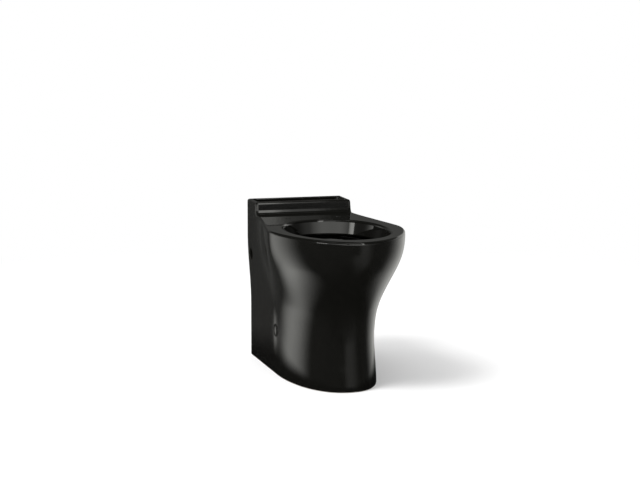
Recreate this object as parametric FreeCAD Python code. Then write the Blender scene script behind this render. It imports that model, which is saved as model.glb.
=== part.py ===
import FreeCAD, Part
import math
import os

os.makedirs("parts", exist_ok=True)

V = FreeCAD.Vector

# A skirted, comfort-height toilet bowl with a shelf for a close coupled tank, in black glazed china.
# Millimetres. +X is to the right of someone who faces the bowl from the front, +Z is up, and the
# floor is z = 0. Distances along the depth are counted forwards from the flat back of the bowl, and
# the function at() turns them into the Y of the frame, whose origin is the middle of the footprint.

LENGTH = 705.0
DECK_HEIGHT = 419.0
SHELF_HEIGHT = 453.0

# Half-width of the rear column at the foot and at the shelf.
FOOT_SIDE = 129.0
RIM_SIDE = 138.0

# Skirt and bowl, one row per height:
# height, reach of the front, half-width of the bowl, half-width of the rear column.
SKIRT_SECTIONS = (
    (0.0, 575.0, 129.5, FOOT_SIDE),
    (60.0, 568.0, 127.0, FOOT_SIDE),
    (120.0, 562.0, 124.0, FOOT_SIDE),
    (165.0, 567.5, 126.0, FOOT_SIDE),
    (210.0, 583.0, 132.0, 130.5),
    (255.0, 613.0, 145.0, 133.5),
    (300.0, 652.0, 161.0, 136.5),
    (345.0, 687.0, 176.0, RIM_SIDE),
    (385.0, 702.5, 183.0, RIM_SIDE),
    (DECK_HEIGHT, LENGTH, 184.0, RIM_SIDE),
    (460.0, LENGTH, 184.0, RIM_SIDE),
)
FOOT_REACH = 575.0
FLARE_FOOT = 250.0
FLARE_RIM = 134.0
WIDEST_FOOT = 289.0
WIDEST_RIM = 396.0
WALL = 12.0

# Rim, bowl well and flush channel.
OPENING_BACK = 250.0
OPENING_FRONT = 650.0
OPENING_HALF_WIDTH = 135.0
OUTER_ROUND = 7.5
FOOT_ROUND = 3.0
OPENING_ROUND = 8.0
RIM_DEPTH = 42.0
RIM_UNDERSIDE = DECK_HEIGHT - RIM_DEPTH
RIM_LEAN = 9.0
RIM_LIP_ROUND = 4.0
UNDERCUT = 15.0
CHANNEL_INNER = 7.0
CHANNEL_OUTER = 32.0
CHANNEL_BOTTOM = RIM_UNDERSIDE + 11.0
CHANNEL_TOP = DECK_HEIGHT - 12.0
RIM_HOLE_COUNT = 22
RIM_HOLE_RADIUS = 2.5
RIM_HOLE_OFFSET = 11.0
RIM_HOLE_LENGTH = 13.0
RIM_FLOOR = 2.0
DECK_THICKNESS = 17.0
TRAY_THICKNESS = 16.0

# Bowl well below the rim: height, back, front, half-width.
WELL_SECTIONS = (
    (RIM_UNDERSIDE, OPENING_BACK - UNDERCUT, OPENING_FRONT + UNDERCUT, OPENING_HALF_WIDTH + UNDERCUT),
    (338.0, 249.0, 647.0, 142.0),
    (300.0, 325.0, 612.0, 118.0),
    (265.0, 395.0, 580.0, 92.0),
    (225.0, 427.0, 545.0, 64.0),
    (190.0, 438.0, 520.0, 46.0),
    (165.0, 443.0, 508.0, 34.0),
)

# Trapway: centre line in (distance from the back, height).
OUTLET_DISTANCE = 275.0
TRAP_PATH = (
    (488.0, 184.0),
    (440.0, 140.0),
    (OUTLET_DISTANCE + 86.0, 140.0),
    (OUTLET_DISTANCE + 86.0, 247.0),
    (OUTLET_DISTANCE, 247.0),
    (OUTLET_DISTANCE, 40.0),
)
TRAP_RADIUS = 26.0
HORN_RADIUS = 38.0
TRAP_BEND = 42.0

# Tank shelf: a block with a leaning front face and a cove down to the deck.
SHELF_DEPTH = 102.0
SHELF_LEAN = math.radians(12.0)
COVE_RADIUS = 15.0
SHELF_ROUND = 7.0
TRAY_LIP = 11.0
TRAY_DEPTH = 10.0
TRAY_FLOOR = SHELF_HEIGHT - TRAY_DEPTH
TRAY_CORNER = 12.0
TRAY_ROUND = 2.5
FLUSH_DISTANCE = 52.0
FLUSH_RADIUS = 34.0
DUCT_HALF_WIDTH = 36.0
TANK_BOLT_SPACING = 152.0
TANK_BOLT_DISTANCE = 56.0
TANK_BOLT_RADIUS = 6.5

# Holes for the seat and in the skirt.
SEAT_HOLE_SPACING = 140.0
SEAT_HOLE_DISTANCE = 200.0
SEAT_HOLE_RADIUS = 7.5
ACCESS_DISTANCE = 37.0
ACCESS_HEIGHT = 299.0
ACCESS_RADIUS = 16.0
BACK_OPENING_HALF_WIDTH = 92.0
BACK_OPENING_HEIGHT = 270.0
BACK_OPENING_CORNER = 45.0
SIDE_MOUTH_ROUND = 1.5
DECK_MOUTH_ROUND = 2.0
INLET_MOUTH_ROUND = 3.0
MOUTH_REACH = 9.0
DOOR_ROUND = 3.0

# Side fixing, on an axis along X on each side. Positions are |x|.
FIX_DISTANCE = 275.0
FIX_HEIGHT = 120.0
RECESS_RADIUS = 17.0
RECESS_FLOOR = 115.0
BOSS_RADIUS = 26.0
BOSS_FACE = 104.0
BOSS_ROOT = 122.0
FIX_HOLE_RADIUS = 6.5
SCREW_RADIUS = 4.0
FIT = 0.05
MOVING_GAP = 0.3
CAP_OUTER_FACE = 125.5
CAP_THICKNESS = 2.4
CAP_DISH = 1.6
CAP_DISH_HALF = 14.5
CAP_ROUND = 0.8
WASHER_THICKNESS = 3.0
WASHER_RADIUS = 15.0
HEAD_HEIGHT = 4.4
HEAD_RADIUS = 7.0
HEAD_ROUND = 1.5
HEX_KEY = 5.0
HEX_DEPTH = 2.6
SCREW_TIP = 88.0
SLEEVE_END = 106.0
PAD_THICKNESS = 3.0
PAD_RADIUS = 15.0
LOOSE_FIT = 0.5

# Steel floor brackets.
BRACKET_THICKNESS = 3.0
BRACKET_FOOT_WIDTH = 112.0
BRACKET_TOP_WIDTH = 40.0
BRACKET_HEIGHT = 142.0
BRACKET_FOOT_DEPTH = 30.0
BRACKET_TAB = 30.0
BRACKET_BEND = 2.0
BRACKET_SHOULDER = 24.0
BRACKET_HOLE_SPACING = 82.0
BRACKET_HOLE_X = 83.0
BRACKET_HOLE_RADIUS = 3.5
TAPER_DROP = 20.0
NUT_SIDE = 13.0
NUT_HEIGHT = 6.5

# Outlet adapter, its seals and its bolts.
ADAPTER_BOTTOM = 6.0
ADAPTER_PLATE = 6.0
HUB_RADIUS = 62.0
HUB_TOP = 28.0
HUB_ROOF = 5.0
ADAPTER_RIBS = 12
RIB_THICKNESS = 3.0
RIB_LENGTH = 10.0
RIB_HEIGHT = 20.0
SPIGOT_END = 2.0
WASTE_INNER = 36.0
WASTE_OUTER = 40.0
SOCKET_INNER = 46.0
SOCKET_OUTER = 50.0
SOCKET_TOP = 82.0
GASKET_BOTTOM = 48.0
GASKET_WALL = 2.5
GASKET_LIPS = 3
LIP_PITCH = 9.0
LIP_THICKNESS = 3.0
WAX_OUTER = 56.0
WAX_GAP = 0.5
WAX_ROUND = 4.0
CLOSET_BOLT_SPACING = 152.4
EAR_RADIUS = 15.0
CLOSET_BOLT_RADIUS = 4.0
CLOSET_BOLT_TOP = 36.0
CLOSET_HOLE_GAP = 0.6
CLOSET_HEAD_HALF_WIDTH = 4.5
CLOSET_HEAD_HALF_LENGTH = 11.0
CLOSET_HEAD_HEIGHT = 3.0
CLOSET_WASHER = 1.5
CLOSET_WASHER_RADIUS = 9.0


def at(distance):
    """Y of a point that lies this far forward of the flat back."""
    return LENGTH / 2.0 - distance


def lerp(low, high, share):
    return low + (high - low) * share


def save(node, shape):
    shape.exportStep("parts/" + node + ".step")


def box(x_low, x_high, back, front, z_low, z_high):
    """Box between two X, two distances from the back and two heights."""
    corner = V(x_low, at(front), z_low)
    return Part.makeBox(x_high - x_low, front - back, z_high - z_low, corner)


def upright(radius, x, distance, z_low, z_high):
    return Part.makeCylinder(radius, z_high - z_low, V(x, at(distance), z_low))


def tube(outer, inner, x, distance, z_low, z_high):
    ring = upright(outer, x, distance, z_low, z_high)
    return ring.cut(upright(inner, x, distance, z_low - 1.0, z_high + 1.0))


def across(radius, x_inner, x_outer, side, distance, height):
    """Cylinder along X on one side (side is -1 left or 1 right), between two |x|."""
    start = V(side * x_inner, at(distance), height)
    return Part.makeCylinder(radius, x_outer - x_inner, start, V(side, 0, 0))


def outline_poles(reach, bowl_half, rear_half, inset):
    """Control points of the plan outline at one height, from the left rear corner round the nose."""
    swell = min(max((reach - FOOT_REACH) / (LENGTH - FOOT_REACH), 0.0), 1.0)
    flare = lerp(FLARE_FOOT, FLARE_RIM, swell)
    widest = lerp(WIDEST_FOOT, WIDEST_RIM, swell)
    rear_x = rear_half - inset
    bowl_x = (bowl_half - inset) * lerp(1.0, 0.986, swell)
    nose = reach - inset - widest
    pointed = lerp(12.0, 42.0, swell)
    half = [
        (rear_x, inset),
        (rear_x, lerp(inset, flare, 0.5)),
        (rear_x, flare),
        (lerp(rear_x, bowl_x, 0.5), lerp(flare, widest, 0.5)),
        (bowl_x, widest),
        (bowl_x * lerp(0.986, 1.038, swell), widest + nose * lerp(0.286, 0.157, swell)),
        (bowl_x * lerp(0.810, 0.872, swell), widest + nose * lerp(0.684, 0.533, swell)),
        (bowl_x * lerp(0.437, 0.525, swell), reach - inset - pointed),
        (0.0, reach - inset + pointed / 2.0),
    ]
    left = [(-x, distance) for x, distance in half]
    return left + half[-2::-1]


def skin_surface(rows):
    """Surface whose rows are cubic splines with these poles, and whose columns pass through them."""
    heights = [row[0].z for row in rows]
    columns = []
    for column in zip(*rows):
        curve = Part.BSplineCurve()
        curve.interpolate(Points=list(column), Parameters=heights)
        columns.append(curve)
    spans = len(rows[0]) - 3
    knots_around = [float(knot) for knot in range(spans + 1)]
    repeats_around = [4] + [1] * (spans - 1) + [4]
    surface = Part.BSplineSurface()
    surface.buildFromPolesMultsKnots(
        [curve.getPoles() for curve in columns],
        repeats_around, columns[0].getMultiplicities(),
        knots_around, columns[0].getKnots(), False, False, 3, 3)
    return surface


def skirt_solid(inset, bottom):
    """The body of the skirt as one solid, up to past the shelf."""
    rows = []
    for height, reach, bowl_half, rear_half in SKIRT_SECTIONS:
        z = bottom if height == 0.0 else height
        poles = outline_poles(reach, bowl_half, rear_half, inset)
        rows.append([V(x, at(distance), z) for x, distance in poles])
    skin = skin_surface(rows).toShape()
    first = rows[0]
    last = rows[-1]
    foot_line = Part.makeLine(first[0], first[-1])
    top_line = Part.makeLine(last[0], last[-1])
    ends = {"foot": [foot_line], "top": [top_line], "back": [foot_line, top_line]}
    for edge in skin.Edges:
        bounds = edge.BoundBox
        if bounds.YLength < 1.0:
            ends["back"].append(edge)
        elif bounds.ZMax < (bottom + last[0].z) / 2.0:
            ends["foot"].append(edge)
        else:
            ends["top"].append(edge)
    faces = [skin]
    for edges in ends.values():
        faces.append(Part.Face(Part.Wire(Part.__sortEdges__(edges))))
    shell = Part.Shell(faces)
    shell.sewShape()
    solid = Part.Solid(shell)
    if solid.Volume < 0:
        solid.reverse()
    return solid


def egg_wire(back, front, half_width, height):
    """Closed egg: squarer at the back, rounder at the front."""
    middle = lerp(back, front, 0.5)
    points = []
    count = 20
    for step in range(count):
        turn = 2.0 * math.pi * step / count
        across_share = math.cos(turn)
        along_share = math.sin(turn)
        power = 2.0 / (2.25 if along_share < 0 else 2.0)
        x = half_width * math.copysign(abs(across_share) ** power, across_share)
        along = (front - back) / 2.0 * math.copysign(abs(along_share) ** power, along_share)
        points.append(V(x, at(middle + along), height))
    curve = Part.BSplineCurve()
    curve.interpolate(Points=points, PeriodicFlag=True)
    return Part.Wire(curve.toShape())


def opening_wire(offset, height):
    """Outline of the bowl opening, made larger by offset."""
    return egg_wire(OPENING_BACK - offset, OPENING_FRONT + offset, OPENING_HALF_WIDTH + offset, height)


def egg_prism(offset, z_low, z_high):
    return Part.Face(opening_wire(offset, z_low)).extrude(V(0, 0, z_high - z_low))


def opening_cutter(z_low, z_high):
    """The bowl opening, whose wall leans in towards its bottom."""
    wires = []
    for z in (z_low, z_high):
        wires.append(opening_wire((z - DECK_HEIGHT) * RIM_LEAN / RIM_DEPTH, z))
    return Part.makeLoft(wires, True, True)


def well_solid(grow, drop):
    """The hollow of the bowl below the rim, made larger by grow and deeper by drop."""
    wires = []
    for height, back, front, half_width in WELL_SECTIONS:
        z = height - drop if height == WELL_SECTIONS[-1][0] else height
        wires.append(egg_wire(back - grow, front + grow, half_width + grow, z))
    return Part.makeLoft(wires, True, False)


def trap_solid(radius, end_extra):
    """Round pipe along the trapway's centre line: straight runs joined by tangent arcs."""
    points = [V(0, at(distance), height) for distance, height in TRAP_PATH]
    points[-1].z -= end_extra
    edges = []
    here = points[0]
    for corner, following in zip(points[1:-1], points[2:]):
        into = (corner - here).normalize()
        out = (following - corner).normalize()
        half_turn = into.getAngle(out) / 2.0
        reach = TRAP_BEND * math.tan(half_turn)
        arc_start = corner - into * reach
        arc_end = corner + out * reach
        inward = (out - into).normalize()
        middle = corner + inward * (TRAP_BEND / math.cos(half_turn) - TRAP_BEND)
        edges.append(Part.makeLine(here, arc_start))
        edges.append(Part.Arc(arc_start, middle, arc_end).toShape())
        here = arc_end
    edges.append(Part.makeLine(here, points[-1]))
    path = Part.Wire(edges)
    heading = points[1] - points[0]
    profile = Part.Wire(Part.makeCircle(radius, points[0], heading))
    return path.makePipeShell([profile], True, True)


def shelf_cutter():
    """Everything above the deck and forward of the shelf's leaning front face, with its cove."""
    outside_x = -200.0
    top = SHELF_HEIGHT + 20.0
    far = LENGTH + 20.0
    face_bottom = SHELF_DEPTH + (SHELF_HEIGHT - DECK_HEIGHT) * math.tan(SHELF_LEAN)
    face_top = SHELF_DEPTH - (top - SHELF_HEIGHT) * math.tan(SHELF_LEAN)
    open_angle = math.pi / 2.0 + SHELF_LEAN
    run = COVE_RADIUS / math.tan(open_angle / 2.0)
    corner = V(outside_x, at(face_bottom), DECK_HEIGHT)
    up_face = V(0, math.sin(SHELF_LEAN), math.cos(SHELF_LEAN))
    along_deck = V(0, -1, 0)
    to_middle = (up_face + along_deck).normalize()
    cove_centre = corner + to_middle * (COVE_RADIUS / math.sin(open_angle / 2.0))
    cove_start = corner + up_face * run
    cove_middle = cove_centre - to_middle * COVE_RADIUS
    cove_end = corner + along_deck * run
    top_start = V(outside_x, at(face_top), top)
    deck_end = V(outside_x, at(far), DECK_HEIGHT)
    deck_top = V(outside_x, at(far), top)
    edges = [
        Part.makeLine(top_start, cove_start),
        Part.Arc(cove_start, cove_middle, cove_end).toShape(),
        Part.makeLine(cove_end, deck_end),
        Part.makeLine(deck_end, deck_top),
        Part.makeLine(deck_top, top_start),
    ]
    return Part.Face(Part.Wire(edges)).extrude(V(-2.0 * outside_x, 0, 0))


def rounded_recess(x_half, back, front, z_low, z_high, corner):
    recess = box(-x_half, x_half, back, front, z_low, z_high)
    uprights = [edge for edge in recess.Edges if edge.BoundBox.ZLength > 1.0]
    return recess.makeFillet(corner, uprights)


def inner_space():
    """The hollow inside the skirt: low under the rim, higher under the deck and the shelf."""
    inside = skirt_solid(WALL, -5.0)
    under_rim = box(-200, 200, 0, LENGTH, -6, RIM_UNDERSIDE - RIM_FLOOR)
    under_deck = box(-200, 200, 0, OPENING_BACK - CHANNEL_OUTER - WALL, -6,
                     DECK_HEIGHT - DECK_THICKNESS)
    under_shelf = box(-200, 200, 0, SHELF_DEPTH - 8.0, -6, TRAY_FLOOR - TRAY_THICKNESS)
    return inside.common(under_rim.fuse([under_deck, under_shelf]))


def deck_edges(body):
    """The long edges of the deck: its outer outline and the edge of the bowl opening."""
    edges = []
    for edge in body.Edges:
        bounds = edge.BoundBox
        flat = bounds.ZLength < 0.2 and abs(bounds.ZMax - DECK_HEIGHT) < 0.2
        if flat and bounds.YLength > 300.0:
            edges.append(edge)
    return edges


def shelf_corner_edges(body):
    """The edges at the two ends of the shelf's front face and of its cove."""
    edges = []
    for edge in body.Edges:
        bounds = edge.BoundBox
        rises = bounds.ZLength > 5.0 and bounds.ZMin > DECK_HEIGHT - 0.2
        if rises and bounds.YMax < at(SHELF_DEPTH - 5.0):
            edges.append(edge)
    return edges


def solid_casting():
    """The outside of the casting, with its opening, before it is hollowed."""
    below_shelf_top = box(-250, 250, -50, LENGTH + 50, -50, SHELF_HEIGHT)
    body = skirt_solid(0.0, 0.0).common(below_shelf_top).cut(shelf_cutter())
    body = body.Solids[0]
    body = body.makeFillet(OUTER_ROUND, deck_edges(body) + shelf_corner_edges(body)).Solids[0]
    shelf_edges = [edge for edge in body.Edges if edge.BoundBox.ZMin > SHELF_HEIGHT - 0.1]
    body = body.makeFillet(SHELF_ROUND, shelf_edges).Solids[0]
    body = body.cut(opening_cutter(RIM_UNDERSIDE - 0.5, DECK_HEIGHT + 5.0)).Solids[0]
    opening_edge = [edge for edge in deck_edges(body) if edge.BoundBox.XLength < 2.1 * OPENING_HALF_WIDTH]
    body = body.makeFillet(OPENING_ROUND, opening_edge).Solids[0]
    foot_edges = [edge for edge in body.Edges if edge.BoundBox.ZMax < 0.1]
    body = body.makeFillet(FOOT_ROUND, foot_edges).Solids[0]
    tray = rounded_recess(RIM_SIDE - TRAY_LIP, TRAY_LIP, SHELF_DEPTH - TRAY_LIP,
                          TRAY_FLOOR, SHELF_HEIGHT + 5.0, TRAY_CORNER)
    body = body.cut(tray).Solids[0]
    tray_edges = []
    for edge in body.Edges:
        bounds = edge.BoundBox
        inside_lip = max(-bounds.XMin, bounds.XMax) < RIM_SIDE - TRAY_LIP + 0.5
        if bounds.ZMin > SHELF_HEIGHT - 0.1 and inside_lip:
            tray_edges.append(edge)
    return body.makeFillet(TRAY_ROUND, tray_edges).Solids[0]


def flush_voids():
    """Inlet under the tank, duct to the rim, channel round the rim and the holes out of it."""
    ring = egg_prism(CHANNEL_OUTER, CHANNEL_BOTTOM, CHANNEL_TOP)
    core = egg_prism(CHANNEL_INNER, CHANNEL_BOTTOM - 1.0, CHANNEL_TOP + 1.0)
    duct = box(-DUCT_HALF_WIDTH, DUCT_HALF_WIDTH, WALL + 4.0, OPENING_BACK - CHANNEL_INNER - 2.0,
               CHANNEL_BOTTOM, CHANNEL_TOP)
    inlet = upright(FLUSH_RADIUS, 0, FLUSH_DISTANCE, CHANNEL_BOTTOM, SHELF_HEIGHT)
    return [ring.cut(core).fuse(duct), inlet, rim_holes()]


def side_voids(side):
    """Holes on one side: tank bolt, seat, access hole and the recessed side fixing."""
    return [
        upright(TANK_BOLT_RADIUS, side * TANK_BOLT_SPACING / 2.0, TANK_BOLT_DISTANCE,
                RIM_UNDERSIDE, SHELF_HEIGHT),
        upright(SEAT_HOLE_RADIUS, side * SEAT_HOLE_SPACING / 2.0, SEAT_HOLE_DISTANCE,
                RIM_UNDERSIDE - 3.0, DECK_HEIGHT + 5.0),
        across(ACCESS_RADIUS, 100.0, 150.0, side, ACCESS_DISTANCE, ACCESS_HEIGHT),
        across(RECESS_RADIUS, RECESS_FLOOR, 150.0, side, FIX_DISTANCE, FIX_HEIGHT),
        across(FIX_HOLE_RADIUS, BOSS_FACE - 5.0, 150.0, side, FIX_DISTANCE, FIX_HEIGHT),
    ]


def china_bowl():
    duct = box(-DUCT_HALF_WIDTH - WALL, DUCT_HALF_WIDTH + WALL, WALL - 2.0, OPENING_BACK,
               RIM_UNDERSIDE - 1.0, DECK_HEIGHT - 6.0)
    added = [well_solid(WALL, WALL), trap_solid(HORN_RADIUS, 0.0), duct]
    for side in (-1, 1):
        added.append(across(BOSS_RADIUS, BOSS_FACE, BOSS_ROOT, side, FIX_DISTANCE, FIX_HEIGHT))
    china = solid_casting().cut(inner_space()).fuse(added)
    china = china.cut(opening_cutter(RIM_UNDERSIDE - 0.5, DECK_HEIGHT - OPENING_ROUND - 2.0))
    china = china.cut(well_solid(0.0, 0.0)).Solids[0]
    china = china.makeFillet(RIM_LIP_ROUND, rim_lip_edges(china)).Solids[0]
    voids = [trap_solid(TRAP_RADIUS, 5.0), back_opening()]
    voids += flush_voids() + side_voids(-1) + side_voids(1)
    china = china.cut(voids).Solids[0]
    china = china.makeFillet(DOOR_ROUND, door_edges(china)).Solids[0]
    return rounded_mouths(china)


def door_edges(china):
    """The edges of the doorway in the outer face of the back."""
    edges = []
    for edge in china.Edges:
        bounds = edge.BoundBox
        narrow = max(-bounds.XMin, bounds.XMax) < BACK_OPENING_HALF_WIDTH + 1.0
        low = bounds.ZMax < BACK_OPENING_HEIGHT + 1.0
        if bounds.YMin > at(0.5) and narrow and low:
            edges.append(edge)
    return edges


def mouth_edges(china, x, distance, z, axis, radius):
    """The edges of the mouth of a round hole, which is centred about here."""
    centre = V(x, at(distance), z)
    edges = []
    for edge in china.Edges:
        if edge.Degenerated:
            continue
        start, end = edge.ParameterRange
        offsets = [edge.valueAt(lerp(start, end, quarter / 4.0)) - centre for quarter in range(5)]
        along = max(abs(offset.dot(axis)) for offset in offsets)
        off_circle = max(abs(offset.cross(axis).Length - radius) for offset in offsets)
        if along < MOUTH_REACH and off_circle < 0.3:
            edges.append(edge)
    return edges


def rounded_mouths(china):
    """Softens the mouths of the holes, where the glaze runs over the edge."""
    to_side = V(1, 0, 0)
    upwards = V(0, 0, 1)
    mouths = [(0.0, FLUSH_DISTANCE, TRAY_FLOOR, upwards, FLUSH_RADIUS, INLET_MOUTH_ROUND)]
    for side in (-1, 1):
        mouths += [
            (side * FOOT_SIDE, FIX_DISTANCE, FIX_HEIGHT, to_side, RECESS_RADIUS, SIDE_MOUTH_ROUND),
            (side * SEAT_HOLE_SPACING / 2.0, SEAT_HOLE_DISTANCE, DECK_HEIGHT, upwards,
             SEAT_HOLE_RADIUS, DECK_MOUTH_ROUND),
            (side * TANK_BOLT_SPACING / 2.0, TANK_BOLT_DISTANCE, TRAY_FLOOR, upwards,
             TANK_BOLT_RADIUS, DECK_MOUTH_ROUND),
        ]
    for x, distance, z, axis, radius, rounding in mouths:
        edges = mouth_edges(china, x, distance, z, axis, radius)
        china = china.makeFillet(rounding, edges).Solids[0]
    return china


def rim_lip_edges(china):
    """The lower edge of the wall of the bowl opening."""
    edges = []
    for edge in china.Edges:
        bounds = edge.BoundBox
        flat = bounds.ZLength < 0.5 and abs(bounds.ZMax - RIM_UNDERSIDE) < 1.0
        if flat and bounds.XLength < 2.0 * OPENING_HALF_WIDTH and bounds.YLength > 300.0:
            edges.append(edge)
    return edges


def rim_holes():
    """Small flush holes down through the rim's underside."""
    holes = []
    back = OPENING_BACK - RIM_HOLE_OFFSET
    front = OPENING_FRONT + RIM_HOLE_OFFSET
    line = egg_wire(back, front, OPENING_HALF_WIDTH + RIM_HOLE_OFFSET, RIM_UNDERSIDE - 1.0)
    for point in line.discretize(Number=RIM_HOLE_COUNT + 1)[:-1]:
        holes.append(Part.makeCylinder(RIM_HOLE_RADIUS, RIM_HOLE_LENGTH, point))
    return Part.makeCompound(holes)


def back_opening():
    """The doorway in the flat back, for the soil pipe and the fitter's hand."""
    door = box(-BACK_OPENING_HALF_WIDTH, BACK_OPENING_HALF_WIDTH, -5, WALL + 5.0,
               -60.0, BACK_OPENING_HEIGHT)
    corners = []
    for edge in door.Edges:
        bounds = edge.BoundBox
        if bounds.YLength > 1.0 and bounds.ZMin > BACK_OPENING_HEIGHT - 1.0 and bounds.XLength < 1.0:
            corners.append(edge)
    return door.makeFillet(BACK_OPENING_CORNER, corners)


def side_cap(side):
    """Round cap with a dished face and a collar that grips the washer inside the recess."""
    inner_face = CAP_OUTER_FACE - CAP_THICKNESS
    outside = RECESS_RADIUS - MOVING_GAP
    bore = WASHER_RADIUS + MOVING_GAP
    cap = across(outside, RECESS_FLOOR + MOVING_GAP, CAP_OUTER_FACE, side, FIX_DISTANCE, FIX_HEIGHT)
    rim_edges = [edge for edge in cap.Edges if abs(abs(edge.BoundBox.Center.x) - CAP_OUTER_FACE) < 0.1
                 and edge.BoundBox.YLength > 1.0]
    cap = cap.makeFillet(CAP_ROUND, rim_edges)
    cap = cap.cut(across(bore, RECESS_FLOOR, inner_face, side, FIX_DISTANCE, FIX_HEIGHT))
    dish_radius = (CAP_DISH_HALF ** 2 + CAP_DISH ** 2) / (2.0 * CAP_DISH)
    centre = V(side * (CAP_OUTER_FACE - CAP_DISH + dish_radius), at(FIX_DISTANCE), FIX_HEIGHT)
    return cap.cut(Part.makeSphere(dish_radius, centre))


def side_screw(side):
    head_base = RECESS_FLOOR + WASHER_THICKNESS
    head_top = head_base + HEAD_HEIGHT
    head = across(HEAD_RADIUS, head_base, head_top, side, FIX_DISTANCE, FIX_HEIGHT)
    crown = [edge for edge in head.Edges if abs(abs(edge.BoundBox.Center.x) - head_top) < 0.1
             and edge.BoundBox.YLength > 1.0]
    head = head.makeFillet(HEAD_ROUND, crown)
    shank = across(SCREW_RADIUS, SCREW_TIP, head_base + 1.0, side, FIX_DISTANCE, FIX_HEIGHT)
    screw = head.fuse(shank).removeSplitter()
    return screw.cut(hexagon_across(HEX_KEY, head_top - HEX_DEPTH, head_top + 1.0, side))


def hexagon_across(flats, x_inner, x_outer, side):
    """Hexagonal prism along X on the fixing axis, between two |x|."""
    corner_radius = flats / math.sqrt(3.0)
    corners = []
    for step in range(7):
        turn = math.pi / 3.0 * step
        corners.append(V(side * x_inner, at(FIX_DISTANCE) + corner_radius * math.cos(turn),
                         FIX_HEIGHT + corner_radius * math.sin(turn)))
    return Part.Face(Part.makePolygon(corners)).extrude(V(side * (x_outer - x_inner), 0, 0))


def side_washer(side):
    """Plastic washer with a sleeve that keeps the screw off the china."""
    disc = across(WASHER_RADIUS, RECESS_FLOOR, RECESS_FLOOR + WASHER_THICKNESS, side,
                  FIX_DISTANCE, FIX_HEIGHT)
    sleeve = across(FIX_HOLE_RADIUS - FIT, SLEEVE_END, RECESS_FLOOR + 1.0, side,
                    FIX_DISTANCE, FIX_HEIGHT)
    hole = across(SCREW_RADIUS + FIT, SLEEVE_END - 1.0, 130.0, side, FIX_DISTANCE, FIX_HEIGHT)
    return disc.fuse(sleeve).cut(hole).removeSplitter()


def bracket_pad(side):
    pad = across(PAD_RADIUS, BOSS_FACE - PAD_THICKNESS, BOSS_FACE, side, FIX_DISTANCE, FIX_HEIGHT)
    hole = across(SCREW_RADIUS + LOOSE_FIT, SCREW_TIP, BOSS_ROOT, side, FIX_DISTANCE, FIX_HEIGHT)
    return pad.cut(hole)


def floor_bracket(side):
    """Bent steel angle: a tapered upright and two feet that straddle the adapter's ear."""
    outer = BOSS_FACE - PAD_THICKNESS
    inner = outer - BRACKET_THICKNESS
    toe = outer - BRACKET_FOOT_DEPTH
    back = at(FIX_DISTANCE - BRACKET_FOOT_WIDTH / 2.0)

    def corner(x, z):
        return V(side * x, back, z)

    bend = BRACKET_BEND + BRACKET_THICKNESS
    slope = math.sqrt(0.5)
    edges = [
        Part.makeLine(corner(outer, BRACKET_HEIGHT), corner(outer, bend)),
        Part.Arc(corner(outer, bend), corner(outer - bend * (1.0 - slope), bend * (1.0 - slope)),
                 corner(outer - bend, 0)).toShape(),
        Part.makeLine(corner(outer - bend, 0), corner(toe, 0)),
        Part.makeLine(corner(toe, 0), corner(toe, BRACKET_THICKNESS)),
        Part.makeLine(corner(toe, BRACKET_THICKNESS), corner(outer - bend, BRACKET_THICKNESS)),
        Part.Arc(corner(outer - bend, BRACKET_THICKNESS),
                 corner(outer - bend + BRACKET_BEND * slope, bend - BRACKET_BEND * slope),
                 corner(inner, bend)).toShape(),
        Part.makeLine(corner(inner, bend), corner(inner, BRACKET_HEIGHT)),
        Part.makeLine(corner(inner, BRACKET_HEIGHT), corner(outer, BRACKET_HEIGHT)),
    ]
    angle = Part.Face(Part.Wire(edges)).extrude(V(0, -BRACKET_FOOT_WIDTH, 0))
    cuts = []
    notch_half = BRACKET_FOOT_WIDTH / 2.0 - BRACKET_TAB
    low = min(side * (toe - 5.0), side * inner)
    high = max(side * (toe - 5.0), side * inner)
    cuts.append(box(low, high, FIX_DISTANCE - notch_half, FIX_DISTANCE + notch_half, -1, bend - 1.0))
    for end in (-1, 1):
        wide = FIX_DISTANCE + end * BRACKET_FOOT_WIDTH / 2.0
        narrow = FIX_DISTANCE + end * BRACKET_TOP_WIDTH / 2.0
        outside = FIX_DISTANCE + end * BRACKET_FOOT_WIDTH
        taper = [V(0, at(wide), BRACKET_SHOULDER), V(0, at(narrow), FIX_HEIGHT - TAPER_DROP),
                 V(0, at(narrow), BRACKET_HEIGHT + 5.0), V(0, at(outside), BRACKET_HEIGHT + 5.0),
                 V(0, at(outside), BRACKET_SHOULDER), V(0, at(wide), BRACKET_SHOULDER)]
        cuts.append(Part.Face(Part.makePolygon(taper)).extrude(V(side * 150.0, 0, 0)))
        hole_distance = FIX_DISTANCE + end * BRACKET_HOLE_SPACING / 2.0
        cuts.append(upright(BRACKET_HOLE_RADIUS, side * BRACKET_HOLE_X, hole_distance, -1, 10))
    cuts.append(across(SCREW_RADIUS + LOOSE_FIT, inner - 5.0, outer + 5.0, side,
                       FIX_DISTANCE, FIX_HEIGHT))
    return angle.cut(cuts).Solids[0]


def bracket_nut(side):
    inner = BOSS_FACE - PAD_THICKNESS - BRACKET_THICKNESS
    half = NUT_SIDE / 2.0
    low = min(side * (inner - NUT_HEIGHT), side * inner)
    nut = box(low, low + NUT_HEIGHT, FIX_DISTANCE - half, FIX_DISTANCE + half,
              FIX_HEIGHT - half, FIX_HEIGHT + half)
    return nut.cut(across(SCREW_RADIUS + FIT, inner - 20.0, inner + 5.0, side, FIX_DISTANCE, FIX_HEIGHT))


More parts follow.
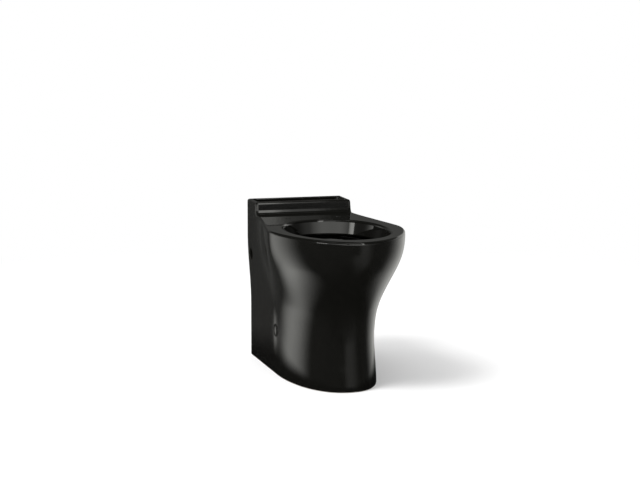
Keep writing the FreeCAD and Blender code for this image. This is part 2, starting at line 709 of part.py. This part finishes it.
def outlet_adapter():
    """Floor plate with two ears, a recess for the wax ring below and a ribbed socket above."""
    here = (0, OUTLET_DISTANCE)
    plate_top = ADAPTER_BOTTOM + ADAPTER_PLATE
    half_spacing = CLOSET_BOLT_SPACING / 2.0
    pieces = [upright(HUB_RADIUS, *here, ADAPTER_BOTTOM, HUB_TOP),
              upright(SOCKET_OUTER, *here, ADAPTER_BOTTOM, SOCKET_TOP)]
    pieces.append(box(-half_spacing, half_spacing, OUTLET_DISTANCE - EAR_RADIUS,
                      OUTLET_DISTANCE + EAR_RADIUS, ADAPTER_BOTTOM, plate_top))
    for side in (-1, 1):
        pieces.append(upright(EAR_RADIUS, side * half_spacing, OUTLET_DISTANCE,
                              ADAPTER_BOTTOM, plate_top))
    for step in range(ADAPTER_RIBS):
        corner = V(SOCKET_OUTER - 1.0, -RIB_THICKNESS / 2.0, HUB_TOP - 1.0)
        rib = Part.makeBox(RIB_LENGTH, RIB_THICKNESS, RIB_HEIGHT, corner)
        rib.rotate(V(0, 0, 0), V(0, 0, 1), 360.0 * (step + 0.5) / ADAPTER_RIBS)
        rib.translate(V(0, at(OUTLET_DISTANCE), 0))
        pieces.append(rib)
    solid = pieces[0].fuse(pieces[1:])
    cuts = [tube(WAX_OUTER + 1.0, WASTE_OUTER, *here, ADAPTER_BOTTOM - 5.0, HUB_TOP - HUB_ROOF),
            upright(WASTE_INNER, *here, 0.0, SOCKET_TOP),
            upright(SOCKET_INNER, *here, HUB_TOP, SOCKET_TOP + 5.0)]
    for side in (-1, 1):
        cuts.append(upright(CLOSET_BOLT_RADIUS + CLOSET_HOLE_GAP, side * half_spacing,
                            OUTLET_DISTANCE, 0.0, HUB_TOP + 2.0))
    spigot = tube(WASTE_OUTER, WASTE_INNER, *here, SPIGOT_END, ADAPTER_BOTTOM + 1.0)
    return solid.cut(cuts).fuse(spigot).removeSplitter().Solids[0]


def outlet_gasket():
    """Rubber sleeve on the china outlet with lips that press on the socket."""
    gasket = tube(HORN_RADIUS + GASKET_WALL, HORN_RADIUS, 0, OUTLET_DISTANCE,
                  GASKET_BOTTOM, SOCKET_TOP - 4.0)
    for step in range(GASKET_LIPS):
        base = GASKET_BOTTOM + LIP_THICKNESS + LIP_PITCH * step
        gasket = gasket.fuse(tube(SOCKET_INNER, HORN_RADIUS + 1.0, 0, OUTLET_DISTANCE,
                                  base, base + LIP_THICKNESS))
    return gasket.removeSplitter()


def wax_ring():
    ring = tube(WAX_OUTER, WASTE_OUTER + WAX_GAP, 0, OUTLET_DISTANCE,
                ADAPTER_BOTTOM, HUB_TOP - HUB_ROOF)
    outer_edges = [edge for edge in ring.Edges if edge.BoundBox.XLength > 2.0 * WAX_OUTER - 1.0
                   and edge.BoundBox.ZLength < 0.1]
    return ring.makeFillet(WAX_ROUND, outer_edges)


def both_closet_bolts(make_one):
    shapes = []
    for side in (-1, 1):
        shapes.append(make_one(side * CLOSET_BOLT_SPACING / 2.0))
    return Part.makeCompound(shapes)


def closet_bolt(x):
    head = box(x - CLOSET_HEAD_HALF_WIDTH, x + CLOSET_HEAD_HALF_WIDTH,
               OUTLET_DISTANCE - CLOSET_HEAD_HALF_LENGTH, OUTLET_DISTANCE + CLOSET_HEAD_HALF_LENGTH,
               0.0, CLOSET_HEAD_HEIGHT)
    shank = upright(CLOSET_BOLT_RADIUS, x, OUTLET_DISTANCE, CLOSET_HEAD_HEIGHT - 1.0, CLOSET_BOLT_TOP)
    return head.fuse(shank).removeSplitter()


def closet_washer(x):
    plate_top = ADAPTER_BOTTOM + ADAPTER_PLATE
    return tube(CLOSET_WASHER_RADIUS, CLOSET_BOLT_RADIUS + MOVING_GAP, x, OUTLET_DISTANCE,
                plate_top, plate_top + CLOSET_WASHER)


def closet_nut(x):
    bottom = ADAPTER_BOTTOM + ADAPTER_PLATE + CLOSET_WASHER
    corner_radius = NUT_SIDE / math.sqrt(3.0)
    corners = []
    for step in range(7):
        turn = math.pi / 3.0 * step
        corners.append(V(x + corner_radius * math.cos(turn),
                         at(OUTLET_DISTANCE) + corner_radius * math.sin(turn), bottom))
    nut = Part.Face(Part.makePolygon(corners)).extrude(V(0, 0, NUT_HEIGHT))
    return nut.cut(upright(CLOSET_BOLT_RADIUS + FIT, x, OUTLET_DISTANCE, bottom - 1.0, bottom + 20.0))


save("china_bowl", china_bowl())
for name, side in (("left", -1), ("right", 1)):
    save("side_cap_" + name, side_cap(side))
    save("side_screw_" + name, side_screw(side))
    save("side_washer_" + name, side_washer(side))
    save("bracket_pad_" + name, bracket_pad(side))
    save("floor_bracket_" + name, floor_bracket(side))
    save("bracket_nut_" + name, bracket_nut(side))
save("outlet_adapter", outlet_adapter())
save("outlet_gasket", outlet_gasket())
save("wax_ring", wax_ring())
save("closet_bolts", both_closet_bolts(closet_bolt))
save("closet_washers", both_closet_bolts(closet_washer))
save("closet_nuts", both_closet_bolts(closet_nut))
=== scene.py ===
import math

import bpy
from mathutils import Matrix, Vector

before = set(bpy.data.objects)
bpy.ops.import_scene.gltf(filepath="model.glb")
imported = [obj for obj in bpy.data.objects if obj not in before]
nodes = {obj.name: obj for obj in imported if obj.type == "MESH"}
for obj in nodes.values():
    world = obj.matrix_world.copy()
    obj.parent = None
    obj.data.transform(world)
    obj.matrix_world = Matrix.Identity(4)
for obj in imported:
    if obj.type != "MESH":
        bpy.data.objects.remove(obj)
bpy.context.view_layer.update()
scene = bpy.context.scene
scene.view_settings.view_transform = "Standard"


# ---------------------------------------------------------------- shader helpers

def add(tree, kind, **inputs):
    """A shader node of this kind, with its inputs given by name (spaces written as underscores)."""
    node = tree.nodes.new(kind)
    for name, value in inputs.items():
        socket = node.inputs[name.replace("_", " ")]
        if isinstance(value, bpy.types.NodeSocket):
            tree.links.new(value, socket)
        else:
            socket.default_value = value
    return node


def link(tree, value, socket):
    tree.links.new(value, socket)


def calculate(tree, operation, *values):
    """The result socket of one Math node."""
    node = tree.nodes.new("ShaderNodeMath")
    node.operation = operation
    for socket, value in zip(node.inputs, values):
        if isinstance(value, bpy.types.NodeSocket):
            tree.links.new(value, socket)
        else:
            socket.default_value = value
    return node.outputs[0]


def blend(tree, share, low, high):
    """Linear blend from low to high."""
    span = calculate(tree, "SUBTRACT", high, low)
    return calculate(tree, "MULTIPLY_ADD", share, span, low)


def smooth_step(tree, value, start, end):
    """0 below start, 1 above end (or the other way round if end is the smaller), smooth between."""
    node = add(tree, "ShaderNodeMapRange", Value=value)
    node.interpolation_type = "SMOOTHSTEP"
    low, high = min(start, end), max(start, end)
    node.inputs["From Min"].default_value = low
    node.inputs["From Max"].default_value = high
    node.inputs["To Min"].default_value = 0.0 if start < end else 1.0
    node.inputs["To Max"].default_value = 1.0 if start < end else 0.0
    return node.outputs["Result"]


def between(tree, value, low, high, soft):
    """1 between low and high, fading to 0 over soft beyond them."""
    rise = smooth_step(tree, value, low - soft, low)
    fall = smooth_step(tree, value, high + soft, high)
    return calculate(tree, "MULTIPLY", rise, fall)


def length_of(tree, place):
    """Distance of a place from the origin."""
    node = tree.nodes.new("ShaderNodeVectorMath")
    node.operation = "LENGTH"
    link(tree, place, node.inputs[0])
    return node.outputs["Value"]


def mix_shaders(tree, share, low, high):
    """Shader node that runs from the low shader to the high one."""
    node = add(tree, "ShaderNodeMixShader", Fac=share)
    link(tree, low.outputs[0], node.inputs[1])
    link(tree, high.outputs[0], node.inputs[2])
    return node


# ---------------------------------------------------------------- camera

CAMERA_PLACE = Vector((-1.4889, -5.2909, 1.1655))
CAMERA_AIM = Vector((-0.0161, 0.0183, 0.3746))
LENS = 115.245
SENSOR_WIDTH = 36.0

camera_data = bpy.data.cameras.new("camera")
camera_data.lens = LENS
camera_data.sensor_width = SENSOR_WIDTH
camera = bpy.data.objects.new("camera", camera_data)
camera.location = CAMERA_PLACE
camera.rotation_euler = (CAMERA_AIM - CAMERA_PLACE).to_track_quat("-Z", "Y").to_euler()
scene.collection.objects.link(camera)
scene.camera = camera


# ---------------------------------------------------------------- what the glaze reflects

# Each softbox: the angles from straight in front (towards +X is positive), in degrees, where its light
# begins, is full, starts to fade and ends, then its level. They stand in three tiers.
LOWER_BOXES = [(-170, -152, -146, -112, 1.6), (-45, 8, 26, 66, 0.25), (100, 138, 140, 164, 0.5)]
MIDDLE_BOXES = [(-165, -142, -139, -108, 1.15), (-10, 14, 20, 62, 0.3), (96, 138, 150, 161, 0.7)]
UPPER_BOXES = [(-162, -151, -149, -138, 0.4), (-100, -45, 4, 40, 1.75), (10, 30, 34, 84, 0.4),
               (90, 134, 145, 158, 0.6)]
LOWER_FILL = 0.05
MIDDLE_FILL = 0.06
UPPER_FILL = 0.11
# Heights in degrees between which one tier gives way to the next.
LOWER_TO_MIDDLE = (-37.0, -23.0)
MIDDLE_TO_UPPER = (4.5, 9.5)
# The tiers end where the ceiling begins, which keeps this share of their light.
TIERS_TO_CEILING = (16.0, 22.0)
CEILING_SHARE = 0.12
# The narrow strip light at the left, as (direction from, to, height from, to, softness) in degrees.
STRIP = (-88.5, -75.5, 7.5, 13.0, 1.2)
STRIP_LEVEL = 4.6
# The two overhead panels run along Y: sideways part of the direction from, to, softness, level.
OVERHEAD = [(0.10, 0.243, 0.006, 2.9), (-0.45, 0.264, 0.006, 0.75)]
OVERHEAD_HEIGHT = (20.0, 64.0, 3.0)
# Forward part of the direction between which the overhead panels begin.
OVERHEAD_BEGINS = (-0.55, -0.25)
TINT = (1.0, 1.0, 0.955, 1.0)
# The studio itself is white to the camera, and a little less bright as a light on matt surfaces.
WHITE = (1.0, 1.0, 1.0, 1.0)
AMBIENT = 0.93
DEGREES = 180.0 / math.pi


def tier_level(tree, angle, boxes, fill):
    """Light of one tier of softboxes at this angle, over an even fill."""
    level = fill
    for begin, full, fade, end, strength in boxes:
        rise = smooth_step(tree, angle, begin, full)
        box = calculate(tree, "MULTIPLY", rise, smooth_step(tree, angle, end, fade))
        level = calculate(tree, "MULTIPLY_ADD", box, strength, level)
    return level


def studio_level(tree):
    """How bright the studio is in each direction, as the glossy surfaces see it."""
    direction = add(tree, "ShaderNodeTexCoord").outputs["Generated"]
    split = add(tree, "ShaderNodeSeparateXYZ", Vector=direction)
    forward = calculate(tree, "MULTIPLY", split.outputs["Y"], -1.0)
    azimuth = calculate(tree, "ARCTAN2", split.outputs["X"], forward)
    angle = calculate(tree, "MULTIPLY", azimuth, DEGREES)
    height = calculate(tree, "MULTIPLY", calculate(tree, "ARCSINE", split.outputs["Z"]), DEGREES)
    lower = tier_level(tree, angle, LOWER_BOXES, LOWER_FILL)
    middle = tier_level(tree, angle, MIDDLE_BOXES, MIDDLE_FILL)
    upper = tier_level(tree, angle, UPPER_BOXES, UPPER_FILL)
    level = blend(tree, smooth_step(tree, height, *LOWER_TO_MIDDLE), lower, middle)
    level = blend(tree, smooth_step(tree, height, *MIDDLE_TO_UPPER), level, upper)
    ceiling = smooth_step(tree, height, *TIERS_TO_CEILING)
    level = calculate(tree, "MULTIPLY", level, blend(tree, ceiling, 1.0, CEILING_SHARE))
    start, end, bottom, top, soft = STRIP
    strip = calculate(tree, "MULTIPLY", between(tree, angle, start, end, soft),
                      between(tree, height, bottom, top, soft))
    level = calculate(tree, "MULTIPLY_ADD", strip, STRIP_LEVEL, level)
    sideways = split.outputs["X"]
    in_front = smooth_step(tree, forward, *OVERHEAD_BEGINS)
    above = calculate(tree, "MULTIPLY", between(tree, height, *OVERHEAD_HEIGHT), in_front)
    for start, end, soft, strength in OVERHEAD:
        panel = calculate(tree, "MULTIPLY", between(tree, sideways, start, end, soft), above)
        level = calculate(tree, "MULTIPLY_ADD", panel, strength, level)
    return level


def make_studio():
    """The world: softboxes for reflections, plain white for the camera, even light for the rest."""
    world = bpy.data.worlds.new("studio")
    scene.world = world
    world.use_nodes = True
    tree = world.node_tree
    tree.nodes.clear()
    path = add(tree, "ShaderNodeLightPath")
    reflected = add(tree, "ShaderNodeBackground", Color=TINT, Strength=studio_level(tree))
    seen = add(tree, "ShaderNodeBackground", Color=WHITE, Strength=1.0)
    ambient = add(tree, "ShaderNodeBackground", Color=WHITE, Strength=AMBIENT)
    indirect = mix_shaders(tree, path.outputs["Is Glossy Ray"], ambient, reflected)
    chosen = mix_shaders(tree, path.outputs["Is Camera Ray"], indirect, seen)
    output = tree.nodes.new("ShaderNodeOutputWorld")
    link(tree, chosen.outputs[0], output.inputs["Surface"])


make_studio()


# ---------------------------------------------------------------- floor, flag card and key light

FLOOR_REACH = 12.0
FLOOR_WHITE = (0.95, 0.95, 0.95, 1)
FLOOR_ROUGHNESS = 0.9
# Far from the foot the floor turns evenly white, between these distances.
SWEEP = (0.9, 2.4)
# In reflections the floor carries a painted shadow near the foot: black there, giving way to the studio
# between these distances. The painted shadow is longer along Y than it is wide, and lies a little behind
# the origin.
SHADOW_PATCH = (0.20, 0.46)
SHADOW_PATCH_SHIFT = (0.0, -0.06, 0.0)
SHADOW_PATCH_SCALE = (1.0, 0.52, 0.0)
DARK = (0.01, 0.01, 0.01, 1)

# A small dark card, which only reflections can see, keeps the front softbox off the tank shelf.
FLAG_X = (0.03, 0.375)
FLAG_Y = -0.5
FLAG_Z = (0.632, 0.675)
FLAG_FELT = (0.16, 0.16, 0.16, 1)

KEY_PLACE = (-3.2, -1.5, 4.5)
KEY_AIM = Vector((0, 0, 0.1))
KEY_SIZE = 2.5
KEY_POWER = 250


def flat_sheet(name, corners, material):
    """A four-cornered sheet in one material."""
    mesh = bpy.data.meshes.new(name)
    mesh.from_pydata(corners, [], [(0, 1, 2, 3)])
    mesh.materials.append(material)
    sheet = bpy.data.objects.new(name, mesh)
    scene.collection.objects.link(sheet)
    return sheet


def floor_paint():
    """White paint, with a painted shadow near the foot that only reflections see, and an even white far
    out.
    """
    material = bpy.data.materials.new("floor_paint")
    material.use_nodes = True
    tree = material.node_tree
    paint = tree.nodes["Principled BSDF"]
    paint.inputs["Roughness"].default_value = FLOOR_ROUGHNESS
    paint.inputs["Base Color"].default_value = FLOOR_WHITE
    place = add(tree, "ShaderNodeNewGeometry").outputs["Position"]
    flattened = add(tree, "ShaderNodeMapping", Vector=place)
    flattened.inputs["Location"].default_value = SHADOW_PATCH_SHIFT
    flattened.inputs["Scale"].default_value = SHADOW_PATCH_SCALE
    open_studio = smooth_step(tree, length_of(tree, flattened.outputs[0]), *SHADOW_PATCH)
    # Painted shadow: black emission near the foot, seen only in reflections.
    reflected_shadow = add(tree, "ShaderNodeEmission", Color=DARK, Strength=1.0)
    clear = add(tree, "ShaderNodeBsdfTransparent")
    reflected = mix_shaders(tree, open_studio, reflected_shadow, clear)
    white = add(tree, "ShaderNodeEmission", Color=WHITE, Strength=1.0)
    lit = mix_shaders(tree, smooth_step(tree, length_of(tree, place), *SWEEP), paint, white)
    path = add(tree, "ShaderNodeLightPath")
    chosen = mix_shaders(tree, path.outputs["Is Glossy Ray"], lit, reflected)
    link(tree, chosen.outputs[0], tree.nodes["Material Output"].inputs["Surface"])
    return material


def flag_felt():
    """Dark felt for the flag card."""
    material = bpy.data.materials.new("flag_felt")
    material.use_nodes = True
    material.node_tree.nodes["Principled BSDF"].inputs["Base Color"].default_value = FLAG_FELT
    return material


floor = flat_sheet("floor", [(-FLOOR_REACH, -FLOOR_REACH, 0), (FLOOR_REACH, -FLOOR_REACH, 0),
                             (FLOOR_REACH, FLOOR_REACH, 0), (-FLOOR_REACH, FLOOR_REACH, 0)], floor_paint())
flag = flat_sheet("flag", [(FLAG_X[0], FLAG_Y, FLAG_Z[0]), (FLAG_X[1], FLAG_Y, FLAG_Z[0]),
                           (FLAG_X[1], FLAG_Y, FLAG_Z[1]), (FLAG_X[0], FLAG_Y, FLAG_Z[1])], flag_felt())
flag.visible_camera = False
flag.visible_diffuse = False
flag.visible_shadow = False

key_data = bpy.data.lights.new("key", "AREA")
key_data.shape = "RECTANGLE"
key_data.size = KEY_SIZE
key_data.size_y = KEY_SIZE
key_data.energy = KEY_POWER
key = bpy.data.objects.new("key", key_data)
key.location = KEY_PLACE
key.rotation_euler = (KEY_AIM - key.location).to_track_quat("-Z", "Y").to_euler()
key.visible_glossy = False
key.visible_camera = False
scene.collection.objects.link(key)


# ---------------------------------------------------------------- materials

MM = 0.001
LATHE_PITCH = 1.25 * MM
# Bare china shows where the height above the floor, plus up to GLAZE_RAGGED of noise, is below
# GLAZE_LINE, which fades between two values.
GLAZE_LINE = (2.0 * MM, 2.6 * MM)
GLAZE_RAGGED = 1.6 * MM


def new_material(name):
    """An empty node material; returns the material, its tree and its Principled shader."""
    material = bpy.data.materials.new(name)
    material.use_nodes = True
    tree = material.node_tree
    return material, tree, tree.nodes["Principled BSDF"]


def object_place(tree):
    return add(tree, "ShaderNodeTexCoord").outputs["Object"]


def noise(tree, place, wavelength, detail=2.0, roughness=0.5):
    """Noise from 0 to 1 whose lumps are about this many metres apart."""
    node = add(tree, "ShaderNodeTexNoise", Vector=place, Scale=1.0 / wavelength,
               Detail=detail, Roughness=roughness)
    return node.outputs["Fac"]


def colour_mix(tree, share, low, high):
    """Colour that runs from low to high; each is a colour or the output of another node."""
    node = tree.nodes.new("ShaderNodeMix")
    node.data_type = "RGBA"
    for socket, value in ((node.inputs[0], share), (node.inputs[6], low), (node.inputs[7], high)):
        if isinstance(value, bpy.types.NodeSocket):
            tree.links.new(value, socket)
        else:
            socket.default_value = value
    return node.outputs[2]


def spots(tree, place, spacing, radius, share):
    """1 inside small round spots, about spacing apart, in a random share of the cells."""
    cells = add(tree, "ShaderNodeTexVoronoi", Vector=place, Scale=1.0 / spacing, Randomness=1.0)
    pick = add(tree, "ShaderNodeSeparateColor", Color=cells.outputs["Color"])
    chosen = calculate(tree, "LESS_THAN", pick.outputs["Red"], share)
    near = smooth_step(tree, cells.outputs["Distance"], radius / spacing, 0.4 * radius / spacing)
    return calculate(tree, "MULTIPLY", chosen, near)


def set_bump(tree, shader, height, depth):
    """Drives the shading normal from a 0 to 1 height that stands for this many metres."""
    bump = add(tree, "ShaderNodeBump", Height=height, Distance=depth, Strength=1.0)
    link(tree, bump.outputs["Normal"], shader.inputs["Normal"])


def edge_share(tree, radius):
    """0 on open surfaces, rising towards 1 on edges sharper than this radius."""
    bevel = add(tree, "ShaderNodeBevel", Radius=radius)
    bevel.samples = 4
    geometry = add(tree, "ShaderNodeNewGeometry")
    agree = add(tree, "ShaderNodeVectorMath")
    agree.operation = "DOT_PRODUCT"
    tree.links.new(bevel.outputs["Normal"], agree.inputs[0])
    tree.links.new(geometry.outputs["Normal"], agree.inputs[1])
    return smooth_step(tree, agree.outputs["Value"], 0.99, 0.80)


def black_glaze():
    """Glossy black glaze: faint waves, pinholes, thin brown edges and a bare china foot."""
    material, tree, shader = new_material("black_glaze")
    place = object_place(tree)
    cloud = noise(tree, place, 60 * MM, 3.0)
    tone = colour_mix(tree, cloud, (0.0032, 0.0032, 0.0027, 1), (0.0048, 0.0047, 0.0040, 1))
    worn = edge_share(tree, 2.0 * MM)
    broken = calculate(tree, "MULTIPLY", worn, noise(tree, place, 9 * MM, 3.0))
    tone = colour_mix(tree, broken, tone, (0.020, 0.013, 0.009, 1))
    pits = spots(tree, place, 14 * MM, 0.45 * MM, 0.30)
    streaks = noise(tree, place, 24 * MM, 4.0)
    waves = noise(tree, place, 17 * MM, 1.0)
    # The glaze stops just above the floor; below that line the pale china is bare.
    split = add(tree, "ShaderNodeSeparateXYZ", Vector=place)
    ragged = calculate(tree, "MULTIPLY_ADD", noise(tree, place, 12 * MM), GLAZE_RAGGED, split.outputs["Z"])
    bare = smooth_step(tree, ragged, GLAZE_LINE[1], GLAZE_LINE[0])
    speckle = noise(tree, place, 1.5 * MM, 4.0)
    china = colour_mix(tree, speckle, (0.42, 0.40, 0.36, 1), (0.60, 0.58, 0.53, 1))
    link(tree, colour_mix(tree, bare, tone, china), shader.inputs["Base Color"])
    gloss = blend(tree, streaks, 0.030, 0.055)
    gloss = calculate(tree, "MULTIPLY_ADD", pits, 0.25, gloss)
    link(tree, blend(tree, bare, gloss, 0.75), shader.inputs["Roughness"])
    shader.inputs["IOR"].default_value = 1.5
    height = calculate(tree, "MULTIPLY_ADD", pits, -0.5, waves)
    set_bump(tree, shader, height, 0.016 * MM)
    return material


def moulded_plastic(name, dark, light, roughness, grain):
    """Moulded plastic with a fine grain of this size, and faint flow marks."""
    material, tree, shader = new_material(name)
    place = object_place(tree)
    link(tree, colour_mix(tree, noise(tree, place, 12 * MM, 3.0), dark, light),
         shader.inputs["Base Color"])
    link(tree, blend(tree, noise(tree, place, 3 * MM, 3.0), roughness * 0.85, roughness * 1.2),
         shader.inputs["Roughness"])
    shader.inputs["IOR"].default_value = 1.49
    set_bump(tree, shader, noise(tree, place, grain, 3.0), 0.02 * MM)
    return material


def rolled_steel(name, dark, light, roughness, spangle):
    """Zinc coated steel: crystal patches of this size, fine scratches and dull spots."""
    material, tree, shader = new_material(name)
    place = object_place(tree)
    cells = add(tree, "ShaderNodeTexVoronoi", Vector=place, Scale=1.0 / spangle, Randomness=1.0)
    pick = add(tree, "ShaderNodeSeparateColor", Color=cells.outputs["Color"])
    dull = smooth_step(tree, noise(tree, place, 14 * MM, 4.0), 0.55, 0.75)
    tone = colour_mix(tree, pick.outputs["Green"], dark, light)
    tone = colour_mix(tree, dull, tone, tuple(0.7 * part for part in dark[:3]) + (1,))
    link(tree, tone, shader.inputs["Base Color"])
    shader.inputs["Metallic"].default_value = 1.0
    gloss = blend(tree, pick.outputs["Red"], roughness * 0.8, roughness * 1.25)
    link(tree, calculate(tree, "MULTIPLY_ADD", dull, 0.2, gloss), shader.inputs["Roughness"])
    stretched = add(tree, "ShaderNodeMapping", Vector=place)
    stretched.inputs["Scale"].default_value = (1.0, 0.05, 1.0)
    scratches = noise(tree, stretched.outputs[0], 0.5 * MM, 4.0)
    set_bump(tree, shader, scratches, 0.01 * MM)
    return material


def turned_brass():
    """Plain brass with lathe rings, brown tarnish and small dark spots."""
    material, tree, shader = new_material("turned_brass")
    place = object_place(tree)
    tarnish = smooth_step(tree, noise(tree, place, 10 * MM, 4.0), 0.45, 0.70)
    tone = colour_mix(tree, tarnish, (0.72, 0.53, 0.23, 1), (0.40, 0.27, 0.11, 1))
    tone = colour_mix(tree, spots(tree, place, 5 * MM, 0.5 * MM, 0.4), tone, (0.10, 0.07, 0.04, 1))
    link(tree, tone, shader.inputs["Base Color"])
    shader.inputs["Metallic"].default_value = 1.0
    link(tree, blend(tree, tarnish, 0.22, 0.42), shader.inputs["Roughness"])
    split = add(tree, "ShaderNodeSeparateXYZ", Vector=place)
    turns = calculate(tree, "MULTIPLY", split.outputs["Z"], 2 * math.pi / LATHE_PITCH)
    rings = calculate(tree, "SINE", turns)
    set_bump(tree, shader, rings, 0.05 * MM)
    return material


def seal_rubber():
    """Matt black rubber with a bloom of pale dust and fine moulding texture."""
    material, tree, shader = new_material("black_rubber")
    place = object_place(tree)
    bloom = smooth_step(tree, noise(tree, place, 9 * MM, 5.0), 0.45, 0.80)
    link(tree, colour_mix(tree, bloom, (0.016, 0.016, 0.017, 1), (0.055, 0.054, 0.052, 1)),
         shader.inputs["Base Color"])
    link(tree, blend(tree, bloom, 0.55, 0.80), shader.inputs["Roughness"])
    set_bump(tree, shader, noise(tree, place, 0.8 * MM, 3.0), 0.05 * MM)
    return material


def amber_wax():
    """Soft amber wax with thumb dents and a slightly translucent body."""
    material, tree, shader = new_material("amber_wax")
    place = object_place(tree)
    cloud = noise(tree, place, 18 * MM, 3.0)
    link(tree, colour_mix(tree, cloud, (0.62, 0.38, 0.09, 1), (0.80, 0.56, 0.20, 1)),
         shader.inputs["Base Color"])
    link(tree, blend(tree, noise(tree, place, 5 * MM), 0.35, 0.55), shader.inputs["Roughness"])
    shader.inputs["Subsurface Weight"].default_value = 0.25
    shader.inputs["Subsurface Scale"].default_value = 3 * MM
    shader.inputs["Subsurface Radius"].default_value = (1.0, 0.6, 0.3)
    dents = calculate(tree, "ADD", noise(tree, place, 14 * MM, 2.0),
                      calculate(tree, "MULTIPLY", noise(tree, place, 1.5 * MM, 2.0), 0.15))
    set_bump(tree, shader, dents, 1.0 * MM)
    return material


ZINC = rolled_steel("zinc_plated_steel", (0.46, 0.47, 0.49, 1), (0.66, 0.67, 0.67, 1), 0.24, 2.0 * MM)
GALVANISED = rolled_steel("galvanised_sheet", (0.38, 0.40, 0.41, 1), (0.60, 0.61, 0.62, 1), 0.34,
                          9.0 * MM)
NYLON = moulded_plastic("natural_nylon", (0.62, 0.60, 0.53, 1), (0.76, 0.74, 0.67, 1), 0.38, 0.8 * MM)
GREY_PLASTIC = moulded_plastic("grey_plastic", (0.040, 0.042, 0.045, 1), (0.060, 0.062, 0.066, 1),
                               0.42, 1.0 * MM)
CAP_PLASTIC = moulded_plastic("black_cap_plastic", (0.0038, 0.0037, 0.0032, 1),
                              (0.0056, 0.0055, 0.0048, 1), 0.05, 8.0 * MM)
GLAZE = black_glaze()
RUBBER = seal_rubber()
WAX = amber_wax()
BRASS = turned_brass()

MATERIAL_OF = {
    "china_bowl": GLAZE, "side_cap": CAP_PLASTIC, "side_screw": ZINC, "side_washer": NYLON,
    "bracket_pad": RUBBER, "floor_bracket": GALVANISED, "bracket_nut": ZINC,
    "outlet_adapter": GREY_PLASTIC, "outlet_gasket": RUBBER, "wax_ring": WAX, "closet": BRASS,
}
for name, node in nodes.items():
    for start, material in MATERIAL_OF.items():
        if name.startswith(start):
            for slot in node.material_slots:
                slot.material = material
